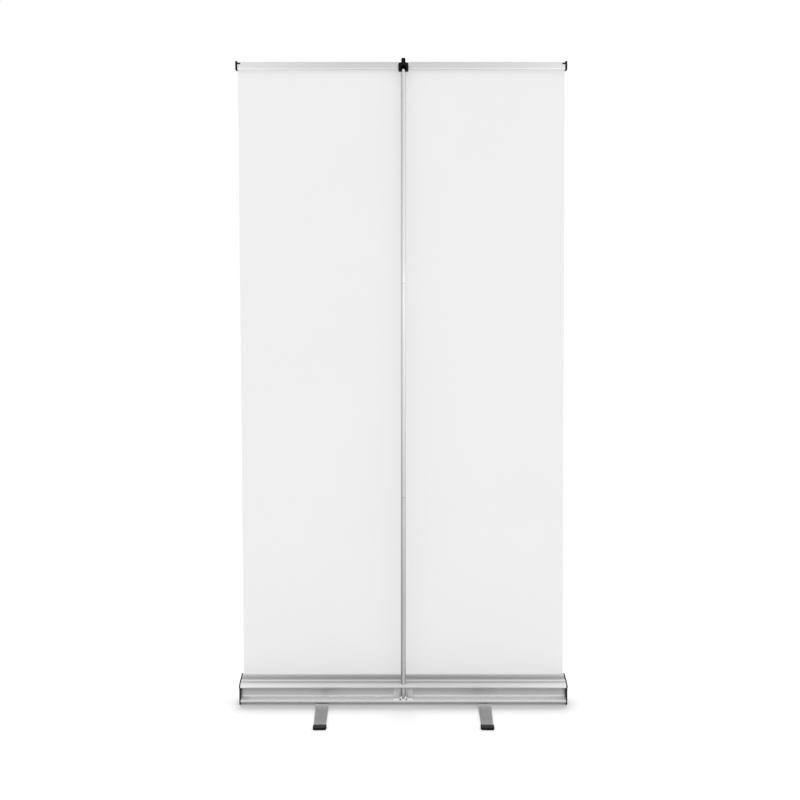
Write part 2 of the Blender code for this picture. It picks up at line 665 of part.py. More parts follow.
def foot(side):
    """A flat swing-out foot with a tip cap, a washer and a rivet. Its origin is on its pivot."""
    word = "left" if side < 0 else "right"
    top = -GAP - WASHER_THICK - GAP
    bottom = top - FOOT_THICK
    half = FOOT_WIDTH / 2
    tip = FOOT_TIP_WIDTH / 2
    end = -(FOOT_REACH - 1.6 * MM)
    bar_end = end
    corners = arc((0.0, 0.0), half, 0, 180, 16)
    corners += [(-tip + 1.6 * MM, bar_end + 5 * MM), (-tip + 4.6 * MM, bar_end)]
    corners += [(tip - 4.6 * MM, bar_end), (tip - 1.6 * MM, bar_end + 5 * MM)]
    bar = place(f"foot_bar_{word}", prism("foot_bar", corners, bottom, top, "Z"), aluminium())
    hole = tool(f"foot_hole_{word}", cylinder("foot_hole", 3.0 * MM, bottom - 1 * MM, top + 1 * MM, 24))
    boolean(bar, hole)
    cap_corners = []
    start = -FOOT_REACH + TIP_LENGTH
    wide = tip + 0.4 * MM
    cap_corners += [(wide, start), (-wide, start)]
    cap_corners += arc((-wide + 6 * MM, -FOOT_REACH + 6 * MM), 6 * MM, 180, 270, 5)
    cap_corners += arc((wide - 6 * MM, -FOOT_REACH + 6 * MM), 6 * MM, 270, 360, 5)
    cap_low = FLOOR_Z
    cap_high = top + 1.1 * MM
    tip_cap = place(f"foot_tip_{word}", prism("foot_tip", cap_corners, cap_low, cap_high, "Z"), black())
    edge = tip_cap.modifiers.new("Bevel", "BEVEL")
    edge.width = 0.6 * MM
    edge.segments = 2
    edge.limit_method = "ANGLE"
    edge.angle_limit = math.radians(40)
    pocket_corners = [(tip - 1.2 * MM, start + 3 * MM), (-tip + 1.2 * MM, start + 3 * MM)]
    pocket_corners += [(-tip + 1.2 * MM, bar_end + 5 * MM), (-tip + 4.4 * MM, bar_end - GAP)]
    pocket_corners += [(tip - 4.4 * MM, bar_end - GAP), (tip - 1.2 * MM, bar_end + 5 * MM)]
    slot = tool(f"tip_slot_{word}", prism("tip_slot", pocket_corners, bottom - GAP, top + GAP, "Z"))
    boolean(tip_cap, slot)
    washer = sleeve(f"foot_washer_{word}", 9.0 * MM, 3.1 * MM, -GAP - WASHER_THICK, -GAP, nylon(), 28)
    tail = 1.6 * MM + GAP
    profile = (
        (0.0, tail + 1.8 * MM), (3.0 * MM, tail + 1.6 * MM), (4.0 * MM, tail + 0.8 * MM), (4.0 * MM, tail),
        (2.9 * MM, tail), (2.9 * MM, bottom - GAP), (7.5 * MM, bottom - GAP), (7.1 * MM, bottom - 1.0 * MM),
        (0.0, bottom - 1.1 * MM),
    )
    rivet = turned(f"foot_rivet_{word}", profile, steel(), 28, False)
    turn = -side * FOOT_TOE_IN
    for item in (bar, tip_cap, hole, slot, washer, rivet):
        item.location = (side * FOOT_PIVOT_X, FOOT_PIVOT_Y, 0.0)
        item.rotation_euler = (0.0, 0.0, turn)
    return bar


def build():
    start()
    cassette()
    for side in (-1, 1):
        end_cap(side)
        for index in range(2):
            cap_screw(side, index)
    roller()
    banner()
    rail()
    pole()
    hook()
    socket()
    foot(-1)
    foot(1)


build()
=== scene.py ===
import math

import bmesh
import bpy
import numpy as np
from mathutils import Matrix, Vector


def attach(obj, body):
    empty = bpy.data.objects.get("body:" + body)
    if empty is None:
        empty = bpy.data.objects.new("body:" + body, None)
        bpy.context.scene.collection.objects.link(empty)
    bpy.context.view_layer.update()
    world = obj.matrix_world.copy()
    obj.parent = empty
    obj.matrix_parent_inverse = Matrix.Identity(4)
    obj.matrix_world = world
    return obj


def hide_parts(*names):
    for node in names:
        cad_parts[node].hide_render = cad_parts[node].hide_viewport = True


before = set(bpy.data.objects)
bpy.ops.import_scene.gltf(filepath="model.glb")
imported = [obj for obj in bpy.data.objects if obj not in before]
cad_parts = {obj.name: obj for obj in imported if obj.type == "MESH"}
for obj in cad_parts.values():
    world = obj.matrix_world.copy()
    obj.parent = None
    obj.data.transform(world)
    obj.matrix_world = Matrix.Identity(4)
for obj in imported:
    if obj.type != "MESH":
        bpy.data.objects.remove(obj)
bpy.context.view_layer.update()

MM = 0.001
GAP = 0.3

# ---------------------------------------------------------------- sizes in millimetres, as in the frame
CASSETTE_HALF = 427.0
CAP_THICK = 2.7
FLOOR_Z = -6.4
RAIL_BOTTOM = 1652.0
RAIL_HALF = 425.5
RAIL_SHIFT = -5.5
BANNER_HALF = 425.0
BANNER_Y = 20.55
BANNER_THICK = 0.5
ROLLER_Z = 24.0
JAW_PIVOT = (20.9, 16.6)
POLE_R = 6.5
POLE_BORE_R = 5.7
POLE_FOOT = np.array((0.0, -25.0, 10.1))
POLE_TOP = np.array((0.0, 2.0, RAIL_BOTTOM + 1.5))
POLE_LENGTH = float(np.linalg.norm(POLE_TOP - POLE_FOOT))
POLE_AXIS = (POLE_TOP - POLE_FOOT) / POLE_LENGTH
POLE_JOINTS = tuple((z - POLE_FOOT[2]) / POLE_AXIS[2] for z in (540.0, 1097.0))
FOOT_PIVOT = (213.0, -14.0)
FOOT_REACH = 210.0
FOOT_TOP = -1.6
FOOT_THICK = 3.5
FOOT_TOE_IN = math.radians(1.9)
TIP_LENGTH = 25.0
RAIL_CAP_THICK = 5.0
WASHER_THICK = 1.0
BASE_THICK = 1.6
POLE_HOLE_GAP = 0.5
SHORT_EDGE = 0.15

# (y, z) corners of the extruded cassette, outer side from the slot round by the nose, then the inner side
CASSETTE_OUTER = (
    (17.6, 61.8), (12.5, 61.3), (9.0, 60.0), (6.0, 57.9), (2.0, 56.2), (-3.0, 55.2), (-8.0, 54.5),
    (-11.2, 54.6), (-12.9, 55.5), (-14.2, 55.8), (-15.5, 55.4), (-17.0, 53.7), (-19.0, 52.2),
    (-22.0, 51.7), (-25.5, 51.1), (-28.5, 49.8), (-31.2, 47.7), (-33.2, 45.2), (-34.0, 42.8),
    (-33.7, 40.6), (-32.4, 38.8), (-30.2, 37.7), (-27.5, 37.4), (-15.0, 37.4), (-12.9, 36.5),
    (-12.0, 34.4), (-12.0, 13.4), (-12.6, 11.2), (-14.2, 9.9), (-16.5, 9.1), (-29.4, 5.9),
    (-30.5, 5.4), (-31.0, 4.4), (-31.0, 1.4), (-30.6, 0.4), (-29.6, 0.0), (29.5, 0.0),
    (31.3, 0.7), (32.0, 2.5), (32.0, 47.4), (31.6, 51.0), (30.3, 54.7), (28.2, 58.0), (25.6, 60.6),
    (23.4, 61.8),
)
CASSETTE_INNER = (
    (17.6, 60.1), (10.0, 58.0), (4.0, 55.0), (-3.0, 53.4), (-13.0, 52.6), (-18.5, 50.6), (-22.0, 50.0),
    (-25.0, 49.5), (-27.8, 48.3), (-30.1, 46.5), (-31.8, 44.3), (-32.4, 42.7), (-32.1, 41.3),
    (-31.3, 40.1), (-29.8, 39.3), (-27.5, 39.0), (-14.7, 39.0), (-11.8, 37.7), (-10.4, 34.7),
    (-10.4, 13.1), (-11.3, 10.0), (-13.4, 8.4), (-16.6, 7.4), (-28.9, 4.2), (-29.4, 3.8), (-29.4, 2.1),
    (-28.9, 1.6), (29.2, 1.6), (30.1, 1.9), (30.4, 2.8), (30.4, 47.2), (30.0, 50.6), (28.8, 53.9),
    (26.9, 56.8), (24.9, 58.8), (23.4, 59.8),
)
END_CAP_OUTLINE = (
    (23.5, 62.6), (17.5, 62.6), (9.2, 61.2), (3.0, 58.6), (-9.0, 56.4), (-14.5, 56.8), (-18.0, 54.9),
    (-21.0, 52.9), (-26.0, 52.0), (-29.2, 50.6), (-32.0, 48.4), (-34.1, 45.6), (-34.9, 42.8),
    (-34.4, 40.0), (-32.6, 36.0), (-32.0, 32.5), (-32.0, FLOOR_Z + 4.8), (-31.3, FLOOR_Z + 2.4),
    (-29.6, FLOOR_Z + 0.6), (-27.0, FLOOR_Z), (31.0, FLOOR_Z), (32.4, FLOOR_Z + 0.4), (33.0, FLOOR_Z + 1.5),
    (33.0, 47.4), (32.6, 51.4), (31.2, 55.2), (28.9, 58.7), (26.2, 61.5),
)
SCREW_PORTS = ((27.6, 4.7), (-29.4, 42.3))
SOCKET_SCREW = (8.1, -30.4, 8.4)

# (radius, distance) profiles of the screws, from the dome to the point, and their crossed recesses
PLATE_SCREW = (
    (0.0, 1.75), (0.9, 1.72), (1.9, 1.55), (2.7, 1.15), (3.15, 0.55), (3.2, 0.0), (1.4, 0.0),
    (1.4, -2.6), (0.0, -2.6),
)
SEAT_SCREW = (
    (0.0, 1.7), (0.8, 1.66), (1.3, 1.5), (1.7, 1.1), (1.8, 0.7), (1.8, GAP), (1.25, GAP), (1.25, -3.6),
    (0.0, -4.2),
)
PLATE_RECESS = (1.85, 1.7)
SEAT_RECESS = (1.8, 0.9)
SLOT_SHARE = 0.2
SLOT_DEPTH = 1.05
SCREW_SEAT = 0.05
SCREW_SHARP = 30.0
BOX_SIDES = [[0, 2, 3, 1], [4, 5, 7, 6], [0, 1, 5, 4], [2, 6, 7, 3], [0, 4, 6, 2], [1, 3, 7, 5]]


# ---------------------------------------------------------------- surfaces
def smooth_loop(corners, per_side=5, corner_degrees=50.0):
    """A closed curve through the corners: a cubic Hermite span between each two. The tangent at a corner is
    the mean of its two sides, weighted by the square of their lengths. It stays sharp where the turn is
    large."""
    points = np.array(corners, float)
    sides = np.roll(points, -1, 0) - points
    lengths = np.linalg.norm(sides, axis=1, keepdims=True)
    before = np.roll(sides, 1, 0)
    before_length = np.roll(lengths, 1, 0)
    tangent = sides * lengths + before * before_length
    tangent /= np.linalg.norm(tangent, axis=1, keepdims=True)
    unit = sides / lengths
    unit_before = np.roll(unit, 1, 0)
    sharp = (unit * unit_before).sum(1) < math.cos(math.radians(corner_degrees))
    leaving = np.where(sharp[:, None], unit, tangent) * lengths
    arriving = np.where(sharp[:, None], unit_before, tangent)
    arriving = np.roll(arriving, -1, 0) * lengths
    t = (np.arange(per_side) / per_side)[None, :, None]
    start, end = points[:, None], np.roll(points, -1, 0)[:, None]
    loop = (
        (2 * t**3 - 3 * t**2 + 1) * start
        + (t**3 - 2 * t**2 + t) * leaving[:, None]
        + (3 * t**2 - 2 * t**3) * end
        + (t**3 - t**2) * arriving[:, None]
    )
    return loop.reshape(-1, points.shape[1])


def loop_normals(loop):
    """Unit normals of a closed flat curve, pointing out of it."""
    along = np.roll(loop, -1, 0) - np.roll(loop, 1, 0)
    normal = np.stack((along[:, 1], -along[:, 0]), 1)
    normal /= np.maximum(np.linalg.norm(normal, axis=1, keepdims=True), 1e-9)
    x, y = loop[:, 0], loop[:, 1]
    area = (x * np.roll(y, -1) - np.roll(x, -1) * y).sum()
    return normal if area > 0 else -normal


def rings_to_faces(rows, count, closed_rows=False, caps=True):
    """Quads between neighbouring rings of equal count, and a many-sided face on each open end."""
    index = np.arange(rows * count).reshape(rows, count)
    upper = np.roll(index, -1, 0) if closed_rows else index[1:]
    lower = index if closed_rows else index[:-1]
    quads = np.stack((lower, np.roll(lower, -1, 1), np.roll(upper, -1, 1), upper), 2).reshape(-1, 4)
    faces = quads.tolist()
    if caps and not closed_rows:
        faces.append(index[0][::-1].tolist())
        faces.append(index[-1].tolist())
    return faces


def grid_faces(rows, columns, offset=0):
    """Quads of an open grid."""
    index = np.arange(rows * columns).reshape(rows, columns) + offset
    quads = np.stack((index[:-1, :-1], index[:-1, 1:], index[1:, 1:], index[1:, :-1]), 2)
    return quads.reshape(-1, 4).tolist()


def enclosed(points, faces):
    """Six times the volume inside the faces, from the sum of the fans about the origin."""
    total = 0.0
    quads = np.array([f for f in faces if len(f) == 4])
    if len(quads):
        a, b, c, d = (points[quads[:, i]] for i in range(4))
        total += (a * np.cross(b, c)).sum() + (a * np.cross(c, d)).sum()
    for face in faces:
        if len(face) != 4:
            p = points[face]
            total += (p[0] * np.cross(p[1:-1], p[2:])).sum()
    return total


def piece(name, points, faces, finish, body, slot, replaces=(), sharp=35.0, smooth=True):
    """Makes a finished piece from points in millimetres, with its faces turned outwards."""
    points = np.asarray(points, float).reshape(-1, 3)
    if enclosed(points, faces) < 0:
        faces = [face[::-1] for face in faces]
    mesh = bpy.data.meshes.new(name)
    mesh.from_pydata((points * MM).tolist(), [], faces)
    if smooth:
        mesh.polygons.foreach_set("use_smooth", np.ones(len(mesh.polygons), bool))
        mesh.set_sharp_from_angle(angle=math.radians(sharp))
    mesh.update()
    item = bpy.data.objects.new(name, mesh)
    bpy.context.scene.collection.objects.link(item)
    if finish is not None:
        mesh.materials.append(finish)
    if body is not None:
        assign(item, body, replaces)
    return item


def assign(item, body, replaces):
    """Puts a piece on its body, in place of its nodes."""
    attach(item, body)
    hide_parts(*replaces)


def cut(item, cutters, sharp=35.0):
    """Takes the cutters' shapes out of a piece, for good, and removes the cutters."""
    for cutter in cutters:
        step = item.modifiers.new(cutter.name, "BOOLEAN")
        step.operation = "DIFFERENCE"
        step.solver = "EXACT"
        step.object = cutter
    bpy.context.view_layer.update()
    graph = bpy.context.evaluated_depsgraph_get()
    mesh = bpy.data.meshes.new_from_object(item.evaluated_get(graph))
    item.modifiers.clear()
    old = item.data
    mesh.name = old.name + "_cut"
    mesh.materials.clear()
    for finish in old.materials:
        mesh.materials.append(finish)
    mesh.polygons.foreach_set("material_index", np.zeros(len(mesh.polygons), np.int32))
    item.data = mesh
    bpy.data.meshes.remove(old)
    mesh.polygons.foreach_set("use_smooth", np.ones(len(mesh.polygons), bool))
    mesh.set_sharp_from_angle(angle=math.radians(sharp))
    for cutter in cutters:
        bpy.data.objects.remove(cutter, do_unlink=True)


def swept(outline, stations):
    """A closed (y, z) outline carried along X: point = (x, y, z), one ring for each x."""
    stations = np.asarray(stations, float)
    rings = np.empty((len(stations), len(outline), 3))
    rings[..., 0] = stations[:, None]
    rings[..., 1:] = np.asarray(outline)[None]
    return rings.reshape(-1, 3), rings_to_faces(len(stations), len(outline))


def moulded(outline, low, high, radius, axis="Z", steps=4, bottom_radius=None):
    """An outline pushed from low to high with rounded rims: the ring at angle a is drawn in by
    radius * (1 - sin a) along the outline's normals and stands radius * (1 - cos a) from the end. The outline
    is (x, y), (x, z) or (y, z)."""
    outline = np.asarray(outline, float)
    normal = loop_normals(outline)
    lower = radius if bottom_radius is None else bottom_radius
    angles = np.linspace(0, math.pi / 2, steps + 1)
    inset = np.concatenate((lower * (1 - np.sin(angles)), radius * (1 - np.sin(angles[::-1]))))
    level = np.concatenate((low + lower * (1 - np.cos(angles)), high - radius * (1 - np.cos(angles[::-1]))))
    flat = outline[None] - normal[None] * inset[:, None, None]
    rings = np.empty((len(inset), len(outline), 3))
    places = {"X": (1, 2, 0), "Y": (0, 2, 1), "Z": (0, 1, 2)}[axis]
    rings[..., places[0]] = flat[..., 0]
    rings[..., places[1]] = flat[..., 1]
    rings[..., places[2]] = level[:, None]
    return rings.reshape(-1, 3), rings_to_faces(len(inset), len(outline))


def turned(profile, start, direction, steps=48, closed=True):
    """A profile of (radius, distance) spun about an axis: point = start + direction * distance
    + radius * (u cos a + v sin a), with u and v square to the axis. A closed profile is a ring's section. An
    open one starts and ends on the axis, and each end is one pole point with a fan of triangles."""
    profile = np.asarray(profile, float)
    start = np.asarray(start, float)
    direction = np.asarray(direction, float)
    direction = direction / np.linalg.norm(direction)
    helper = np.array((1.0, 0.0, 0.0)) if abs(direction[0]) < 0.9 else np.array((0.0, 1.0, 0.0))
    u = np.cross(direction, helper)
    u /= np.linalg.norm(u)
    v = np.cross(direction, u)
    turn = np.linspace(0, 2 * math.pi, steps, endpoint=False)
    around = np.cos(turn)[:, None] * u + np.sin(turn)[:, None] * v
    points = start + profile[:, 1][:, None, None] * direction + profile[:, 0][:, None, None] * around[None]
    if closed:
        return points.reshape(-1, 3), rings_to_faces(len(profile), steps, closed_rows=True)
    rings = points[1:-1]
    poles = np.array((points[0, 0], points[-1, 0]))
    faces = rings_to_faces(len(rings), steps, caps=False)
    first, last, edge = len(rings) * steps, len(rings) * steps + 1, (len(rings) - 1) * steps
    for index in range(steps):
        after = (index + 1) % steps
        faces.append([first, after, index])
        faces.append([last, edge + index, edge + after])
    return np.concatenate((rings.reshape(-1, 3), poles)), faces


def joined(*shapes):
    """Several closed shapes as one piece."""
    points, faces, count = [], [], 0
    for shape_points, shape_faces in shapes:
        shape_points = np.asarray(shape_points, float).reshape(-1, 3)
        if enclosed(shape_points, shape_faces) < 0:
            shape_faces = [face[::-1] for face in shape_faces]
        points.append(shape_points)
        faces += [[i + count for i in face] for face in shape_faces]
        count += len(shape_points)
    return np.concatenate(points), faces


def rounded_box(low, high, radius, steps=3):
    """A box whose upright corners are quarter circles and whose rims are rounded."""
    corner = max(radius * 1.6, 0.4)
    x0, y0 = low[0] + corner, low[1] + corner
    x1, y1 = high[0] - corner, high[1] - corner
    turn = np.linspace(0, math.pi / 2, steps + 2)
    outline = []
    for quarter, (x, y) in enumerate(((x1, y1), (x0, y1), (x0, y0), (x1, y0))):
        angle = turn + quarter * math.pi / 2
        outline.append(np.stack((x + corner * np.cos(angle), y + corner * np.sin(angle)), 1))
    return moulded(np.concatenate(outline), low[2], high[2], radius, "Z", steps)


def arc(center, radius, start, end, count):
    """Points on a circle, angles in degrees."""
    turn = np.radians(np.linspace(start, end, count + 1))
    return np.stack((center[0] + radius * np.cos(turn), center[1] + radius * np.sin(turn)), 1).tolist()


def cutter(name, shape):
    """A shape that is only used to cut with."""
    return piece(name, *shape, None, None, None)


def pole_rod(radius, low, high):
    """A plain rod on the pole's axis, from one distance to another."""
    return turned(((0.0, low), (radius, low), (radius, high), (0.0, high)), POLE_FOOT, POLE_AXIS, 64, False)


def merged(name, items, finish, body, slot, replaces, sharp=35.0):
    """Several finished closed shapes as one piece."""
    points, faces, count = [], [], 0
    for item in items:
        mesh = item.data
        spots = np.empty(len(mesh.vertices) * 3)
        mesh.vertices.foreach_get("co", spots)
        points.append(spots.reshape(-1, 3) / MM)
        faces += [[i + count for i in polygon.vertices] for polygon in mesh.polygons]
        count += len(mesh.vertices)
        bpy.data.objects.remove(item, do_unlink=True)
    return piece(name, np.concatenate(points), faces, finish, body, slot, replaces, sharp)


def screw(name, profile, start, direction, steps, recess, finish, slot, node):
    """A turned screw with a crossed recess: two thin boxes, one along each axis square to the screw's own,
    are taken out of the top of its head. The recess is (how far along the boxes' middle is, their half
    length)."""
    blank = piece("blank_" + name, *turned(profile, start, direction, steps, False), None, None, None)
    middle, reach = recess
    center = start + np.array(direction, float) * middle
    slots = []
    for axis in np.flatnonzero(np.array(direction) == 0):
        half = np.full(3, SLOT_SHARE * reach)
        half[axis] = reach
        half[np.flatnonzero(direction)] = SLOT_DEPTH
        corners = np.array([(x, y, z) for z in (-1, 1) for y in (-1, 1) for x in (-1, 1)]) * half + center
        slots.append(cutter(f"slot_cutter_{axis}", (corners, BOX_SIDES)))
    cut(blank, slots, SCREW_SHARP)
    merged(name, [blank], finish, "cassette", slot, (node,), SCREW_SHARP)


# ---------------------------------------------------------------- finishes
# how dense the patterns are, in the units of Object coordinates
DIE_LINES = 900.0
DIE_BANDS = 90.0
PLASTIC_GRAIN = 2600.0
PLASTIC_CLOUD = 90.0
STEEL_BLOOM = 350.0
STEEL_MARKS = 1800.0
WEAVE = 1900.0
EVEN = (1.0, 1.0, 1.0)

# a Mix node's colour sockets
MIX_FIRST, MIX_SECOND, MIX_RESULT = 6, 7, 2

# how light the metals are before their painted light and shade multiply in
PAINTED_SHADE_METAL = 0.92
FILM_TONE = 0.46
# the film's painted glow
FILM_PAINTED_GLOW = 0.385


def new_finish(name, color, metallic, roughness):
    """A material with a plain colour. Returns it with its node tree and its shader."""
    finish = bpy.data.materials.new(name)
    finish.use_nodes = True
    shader = finish.node_tree.nodes["Principled BSDF"]
    shader.inputs["Base Color"].default_value = (*color, 1.0)
    shader.inputs["Metallic"].default_value = metallic
    shader.inputs["Roughness"].default_value = roughness
    finish.diffuse_color = (*color, 1.0)
    return finish, finish.node_tree, shader


def stretched_noise(tree, scale, stretch, detail=3.0, roughness=0.55):
    """Noise on Object coordinates, drawn out along an axis where the stretch is low."""
    where = tree.nodes.new("ShaderNodeTexCoord")
    mapping = tree.nodes.new("ShaderNodeMapping")
    mapping.inputs["Scale"].default_value = stretch
    noise = tree.nodes.new("ShaderNodeTexNoise")
    noise.inputs["Scale"].default_value = scale
    noise.inputs["Detail"].default_value = detail
    noise.inputs["Roughness"].default_value = roughness
    tree.links.new(where.outputs["Object"], mapping.inputs["Vector"])
    tree.links.new(mapping.outputs["Vector"], noise.inputs["Vector"])
    return noise.outputs["Fac"]


def spread(tree, value, low, high):
    """Maps 0.25..0.75 of a noise onto low..high."""
    node = tree.nodes.new("ShaderNodeMapRange")
    node.inputs["From Min"].default_value = 0.25
    node.inputs["From Max"].default_value = 0.75
    node.inputs["To Min"].default_value = low
    node.inputs["To Max"].default_value = high
    tree.links.new(value, node.inputs["Value"])
    return node.outputs["Result"]


def two_tone(tree, value, dark, light):
    """A colour that runs from dark to light as a noise goes up."""
    ramp = tree.nodes.new("ShaderNodeValToRGB")
    ramp.color_ramp.elements[0].position = 0.3
    ramp.color_ramp.elements[0].color = (*dark, 1.0)
    ramp.color_ramp.elements[1].position = 0.7
    ramp.color_ramp.elements[1].color = (*light, 1.0)
    tree.links.new(value, ramp.inputs["Fac"])
    return ramp.outputs["Color"]


def bump(tree, shader, value, strength, distance):
    """Raises the surface's shading by a pattern. The distance is in metres."""
    node = tree.nodes.new("ShaderNodeBump")
    node.inputs["Strength"].default_value = strength
    node.inputs["Distance"].default_value = distance
    tree.links.new(value, node.inputs["Height"])
    tree.links.new(node.outputs["Normal"], shader.inputs["Normal"])


def drawn_aluminium(name, along, light, rough, grain=1.0, shade_painted=False):
    """Satin anodised aluminium with the fine lines that the die leaves along the bar. A finish with painted
    shade reads the piece's own "tone" and "bare" attributes: the light and shade painted on each part of its
    surface, and how metallic each part is."""
    finish, tree, shader = new_finish(name, (light, light, light), 1.0, rough)
    fine = tuple(2.0 if axis == along else DIE_LINES for axis in "XYZ")
    broad = tuple(1.2 if axis == along else DIE_BANDS for axis in "XYZ")
    lines = stretched_noise(tree, 1.0, fine, 3.0)
    bands = stretched_noise(tree, 1.0, broad, 2.0)
    color = two_tone(tree, bands, (light * 0.95,) * 3, (light * 1.04, light * 1.042, light * 1.048))
    if shade_painted:
        mix = tree.nodes.new("ShaderNodeMix")
        mix.data_type = "RGBA"
        mix.blend_type = "MULTIPLY"
        mix.inputs["Factor"].default_value = 1.0
        # the painted light and shade, from the piece's "tone" attribute, multiply the colour
        tone = tree.nodes.new("ShaderNodeAttribute")
        tone.attribute_name = "tone"
        tree.links.new(color, mix.inputs[MIX_FIRST])
        tree.links.new(tone.outputs["Fac"], mix.inputs[MIX_SECOND])
        color = mix.outputs[MIX_RESULT]
        bare = tree.nodes.new("ShaderNodeAttribute")
        bare.attribute_name = "bare"
        tree.links.new(bare.outputs["Fac"], shader.inputs["Metallic"])
    tree.links.new(color, shader.inputs["Base Color"])
    tree.links.new(spread(tree, lines, rough - 0.05, rough + 0.07), shader.inputs["Roughness"])
    bump(tree, shader, lines, 0.10 * grain, 0.00004)
    return finish


def paint(item, tone, bare=None):
    """Sets the "tone" and "bare" attributes from functions of the surface's own (x, y, z) in millimetres: the
    "tone" is painted light and shade, the "bare" is how metallic the surface is.
    """
    mesh = item.data
    spots = np.empty(len(mesh.vertices) * 3)
    mesh.vertices.foreach_get("co", spots)
    x, y, z = spots.reshape(-1, 3).T / MM
    for name, rule in (("tone", tone), ("bare", bare)):
        values = np.ones(len(x)) if rule is None else rule(x, y, z)
        layer = mesh.attributes.new(name, "FLOAT", "POINT")
        layer.data.foreach_set("value", np.ascontiguousarray(values, np.float32))


def moulded_plastic(name, tone, rough, sheen=0.5):
    """Moulded plastic with a fine spark-eroded grain."""
    finish, tree, shader = new_finish(name, (tone, tone, tone * 1.03), 0.0, rough)
    grain = stretched_noise(tree, PLASTIC_GRAIN, EVEN, 4.0)
    cloud = stretched_noise(tree, PLASTIC_CLOUD, EVEN, 2.0)
    color = two_tone(tree, cloud, (tone * 0.85,) * 3, (tone * 1.2, tone * 1.2, tone * 1.25))
    tree.links.new(color, shader.inputs["Base Color"])
    tree.links.new(spread(tree, grain, rough - 0.06, rough + 0.08), shader.inputs["Roughness"])
    bump(tree, shader, grain, 0.25, 0.00006)
    shader.inputs["Specular IOR Level"].default_value = sheen
    return finish


def plated_steel(name, tone, rough):
    """Zinc-plated steel with a faint cloudy bloom and turned marks."""
    finish, tree, shader = new_finish(name, (tone, tone, tone), 1.0, rough)
    cloud = stretched_noise(tree, STEEL_BLOOM, EVEN, 3.0)
    color = two_tone(tree, cloud, (tone * 0.9,) * 3, (tone * 1.06, tone * 1.06, tone * 1.08))
    tree.links.new(color, shader.inputs["Base Color"])
    tree.links.new(spread(tree, cloud, rough - 0.05, rough + 0.08), shader.inputs["Roughness"])
    bump(tree, shader, stretched_noise(tree, STEEL_MARKS, EVEN, 3.0), 0.15, 0.00003)
    return finish


def banner_film():
    """Matt pale film: a very fine woven backing, an even tone, and a painted glow: the film gives off light
    of its own, which evens out the shade on it."""
    finish, tree, shader = new_finish("banner film", (FILM_TONE,) * 3, 0.0, 0.62)
    where = tree.nodes.new("ShaderNodeTexCoord")
    weave = None
    for axis_scale in ((WEAVE, 0.0, 0.0), (0.0, 0.0, WEAVE)):
        mapping = tree.nodes.new("ShaderNodeMapping")
        mapping.inputs["Scale"].default_value = axis_scale
        tree.links.new(where.outputs["Object"], mapping.inputs["Vector"])
        wave = tree.nodes.new("ShaderNodeTexWave")
        wave.wave_type = "BANDS"
        wave.bands_direction = "X" if axis_scale[0] else "Z"
        wave.inputs["Scale"].default_value = 1.0
        wave.inputs["Distortion"].default_value = 0.4
        tree.links.new(mapping.outputs["Vector"], wave.inputs["Vector"])
        if weave is None:
            weave = wave.outputs["Fac"]
        else:
            both = tree.nodes.new("ShaderNodeMath")
            both.operation = "MULTIPLY"
            tree.links.new(weave, both.inputs[0])
            tree.links.new(wave.outputs["Fac"], both.inputs[1])
            weave = both.outputs["Value"]
    cloud = stretched_noise(tree, 3.0, EVEN, 2.0)
    color = two_tone(tree, cloud, (FILM_TONE * 0.99,) * 3, (FILM_TONE * 1.01,) * 3)
    tree.links.new(color, shader.inputs["Base Color"])
    # painted glow: the film gives off light though it is no lamp
    shader.inputs["Emission Color"].default_value = (1.0, 1.0, 1.0, 1.0)
    shader.inputs["Emission Strength"].default_value = FILM_PAINTED_GLOW
    bump(tree, shader, weave, 0.08, 0.00003)
    shader.inputs["Specular IOR Level"].default_value = 0.3
    return finish


# the finishes made with True at the end carry painted light and shade in their "tone" attribute
EXTRUSION = drawn_aluminium("satin aluminium extrusion", "X", PAINTED_SHADE_METAL, 0.30, 1.0, True)
RAIL_METAL = drawn_aluminium("satin aluminium rail", "X", PAINTED_SHADE_METAL, 0.34, 1.0, True)
POLE_METAL = drawn_aluminium("satin aluminium tube", "Z", PAINTED_SHADE_METAL, 0.24, 1.0, True)
PLAIN_METAL = drawn_aluminium("satin aluminium inside", "X", 0.52, 0.30)
FOOT_METAL = drawn_aluminium("brushed aluminium foot", "Y", PAINTED_SHADE_METAL, 0.36, 1.5, True)
SOCKET_METAL = drawn_aluminium("satin aluminium socket", "Z", PAINTED_SHADE_METAL, 0.36, 1.0, True)
BLACK = moulded_plastic("black moulded plastic", 0.004, 0.42, 0.12)
BLACK_STEEL = moulded_plastic("blackened steel", 0.002, 0.32, 0.05)
STEEL = plated_steel("zinc plated steel", 0.55, 0.30)
NYLON = moulded_plastic("white nylon", 0.72, 0.42)
ELASTIC = moulded_plastic("white elastic cord", 0.70, 0.75)
FILM = banner_film()
FOOT_PLAIN = drawn_aluminium("brushed aluminium bar", "Y", 0.56, 0.36, 1.5)

# the frame's own nodes that aren't black plastic
NODE_FINISH = {
    PLAIN_METAL: (
        "cassette_extrusion", "pole_socket", "roller_tube", "pole_ferrule_lower", "pole_ferrule_upper",
        "pole_tube_lower", "pole_tube_middle", "pole_tube_upper", "rail_body", "rail_jaw",
    ),
    FOOT_PLAIN: ("foot_bar_left", "foot_bar_right"),
    STEEL: (
        "torsion_spring", "idle_pin", "spring_shaft", "spring_anchor", "foot_rivet_left", "foot_rivet_right",
        "end_cap_screw_left_front", "end_cap_screw_left_rear", "end_cap_screw_right_front",
        "end_cap_screw_right_rear",
    ),
    BLACK_STEEL: ("socket_screw_left", "socket_screw_right"),
    NYLON: (
        "spring_clutch", "roller_plug_idle", "roller_plug_spring", "foot_washer_left", "foot_washer_right",
    ),
    ELASTIC: ("pole_cord",),
    FILM: ("banner_roll", "banner_sheet"),
}
FINISH_OF = {node_name: finish for finish, names in NODE_FINISH.items() for node_name in names}
for node_name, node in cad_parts.items():
    node.data.materials.clear()
    node.data.materials.append(FINISH_OF.get(node_name, BLACK))


